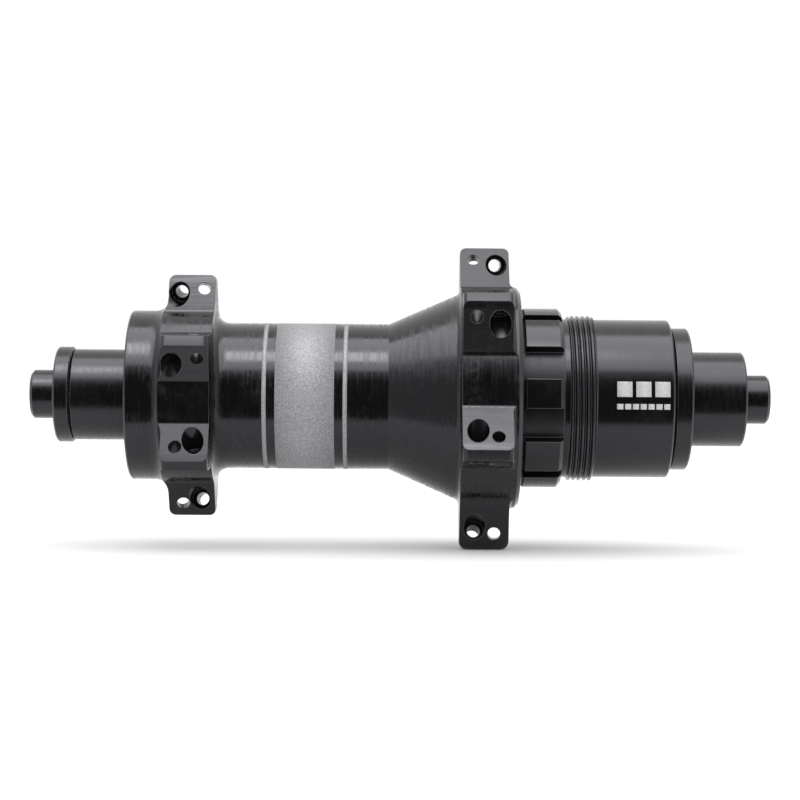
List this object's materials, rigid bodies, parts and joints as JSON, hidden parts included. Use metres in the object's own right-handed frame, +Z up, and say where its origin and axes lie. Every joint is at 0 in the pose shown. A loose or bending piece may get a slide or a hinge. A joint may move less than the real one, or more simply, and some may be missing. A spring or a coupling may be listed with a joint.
{
  "type": "bicycle rear hub",
  "caption": "Rear bicycle hub with straight-pull lugged flanges, a splined and threaded driver on a pawl ratchet, sealed bearings and plug-in end caps.",
  "frame": {"origin": "on the axle's axis, midway between the two faces that touch the frame", "axes": "+X along the axle to the driver side, +Z up, +Y away from the viewer"},
  "size_m": [0.14, 0.0546, 0.0574],
  "materials": {
    "anodised_shell": "black anodised",
    "anodised_driver": "black anodised",
    "anodised_cap": "black anodised",
    "bare_aluminium": "turned",
    "tool_steel": "hardened",
    "spring_steel": "blued",
    "bearing_steel": "polished",
    "cage_plastic": "moulded",
    "seal_rubber": "moulded",
    "black_rubber": "moulded"
  },
  "bodies": {
    "axle": {"axle_tube": "bare_aluminium", "left_end_cap": "anodised_cap", "right_end_cap": "anodised_cap", "left_axle_spacer": "anodised_cap", "bearing_washer": "bare_aluminium", "driver_spacer_tube": "bare_aluminium", "driver_dust_cover": "anodised_cap", "end_cap_o_rings": "black_rubber", "left_hub_bearing_inner_ring": "bearing_steel", "right_hub_bearing_inner_ring": "bearing_steel", "inner_driver_bearing_inner_ring": "bearing_steel", "outer_driver_bearing_inner_ring": "bearing_steel"},
    "shell": {"hub_shell": "anodised_shell", "ratchet_ring": "tool_steel", "driver_seal": "black_rubber", "left_hub_bearing_outer_ring": "bearing_steel", "left_hub_bearing_left_seal": "seal_rubber", "left_hub_bearing_right_seal": "seal_rubber", "right_hub_bearing_outer_ring": "bearing_steel", "right_hub_bearing_left_seal": "seal_rubber", "right_hub_bearing_right_seal": "seal_rubber"},
    "driver": {"driver_body": "anodised_driver", "pawl_springs": "spring_steel", "inner_driver_bearing_outer_ring": "bearing_steel", "inner_driver_bearing_left_seal": "seal_rubber", "inner_driver_bearing_right_seal": "seal_rubber", "outer_driver_bearing_outer_ring": "bearing_steel", "outer_driver_bearing_left_seal": "seal_rubber", "outer_driver_bearing_right_seal": "seal_rubber"},
    "left_hub_bearing_ball_set": {"left_hub_bearing_balls": "bearing_steel", "left_hub_bearing_cage": "cage_plastic"},
    "right_hub_bearing_ball_set": {"right_hub_bearing_balls": "bearing_steel", "right_hub_bearing_cage": "cage_plastic"},
    "inner_driver_bearing_ball_set": {"inner_driver_bearing_balls": "bearing_steel", "inner_driver_bearing_cage": "cage_plastic"},
    "outer_driver_bearing_ball_set": {"outer_driver_bearing_balls": "bearing_steel", "outer_driver_bearing_cage": "cage_plastic"},
    "pawl_1": {"pawl_1": "tool_steel"},
    "pawl_2": {"pawl_2": "tool_steel"},
    "pawl_3": {"pawl_3": "tool_steel"},
    "pawl_4": {"pawl_4": "tool_steel"}
  },
  "joints": [
    {"name": "shell_spin", "type": "hinge", "parent": "axle", "child": "shell", "pos_m": [0, 0, 0], "axis": [1, 0, 0], "continuous": true},
    {"name": "driver_spin", "type": "hinge", "parent": "axle", "child": "driver", "pos_m": [0, 0, 0], "axis": [1, 0, 0], "continuous": true},
    {"name": "left_hub_bearing_roll", "type": "hinge", "parent": "axle", "child": "left_hub_bearing_ball_set", "pos_m": [0, 0, 0], "axis": [1, 0, 0], "continuous": true},
    {"name": "right_hub_bearing_roll", "type": "hinge", "parent": "axle", "child": "right_hub_bearing_ball_set", "pos_m": [0, 0, 0], "axis": [1, 0, 0], "continuous": true},
    {"name": "inner_driver_bearing_roll", "type": "hinge", "parent": "axle", "child": "inner_driver_bearing_ball_set", "pos_m": [0, 0, 0], "axis": [1, 0, 0], "continuous": true},
    {"name": "outer_driver_bearing_roll", "type": "hinge", "parent": "axle", "child": "outer_driver_bearing_ball_set", "pos_m": [0, 0, 0], "axis": [1, 0, 0], "continuous": true},
    {"name": "pawl_1_swing", "type": "hinge", "parent": "driver", "child": "pawl_1", "pos_m": [0.016, 0.01316, 0.00479], "axis": [1, 0, 0], "range_deg": [0, 15], "stiffness_Nm_per_rad": 0.002, "springref_deg": 20.05},
    {"name": "pawl_2_swing", "type": "hinge", "parent": "driver", "child": "pawl_2", "pos_m": [0.016, -0.00479, 0.01316], "axis": [1, 0, 0], "range_deg": [0, 15], "stiffness_Nm_per_rad": 0.002, "springref_deg": 20.05},
    {"name": "pawl_3_swing", "type": "hinge", "parent": "driver", "child": "pawl_3", "pos_m": [0.016, -0.01316, -0.00479], "axis": [1, 0, 0], "range_deg": [0, 15], "stiffness_Nm_per_rad": 0.002, "springref_deg": 20.05},
    {"name": "pawl_4_swing", "type": "hinge", "parent": "driver", "child": "pawl_4", "pos_m": [0.016, 0.00479, -0.01316], "axis": [1, 0, 0], "range_deg": [0, 15], "stiffness_Nm_per_rad": 0.002, "springref_deg": 20.05}
  ],
  "couplings": [
    {"joint": "left_hub_bearing_roll", "follows": "shell_spin", "ratio": 0.59233},
    {"joint": "right_hub_bearing_roll", "follows": "shell_spin", "ratio": 0.59233},
    {"joint": "inner_driver_bearing_roll", "follows": "driver_spin", "ratio": 0.56103},
    {"joint": "outer_driver_bearing_roll", "follows": "driver_spin", "ratio": 0.56103},
    {"joint": "pawl_2_swing", "follows": "pawl_1_swing", "ratio": 1},
    {"joint": "pawl_3_swing", "follows": "pawl_1_swing", "ratio": 1},
    {"joint": "pawl_4_swing", "follows": "pawl_1_swing", "ratio": 1}
  ]
}
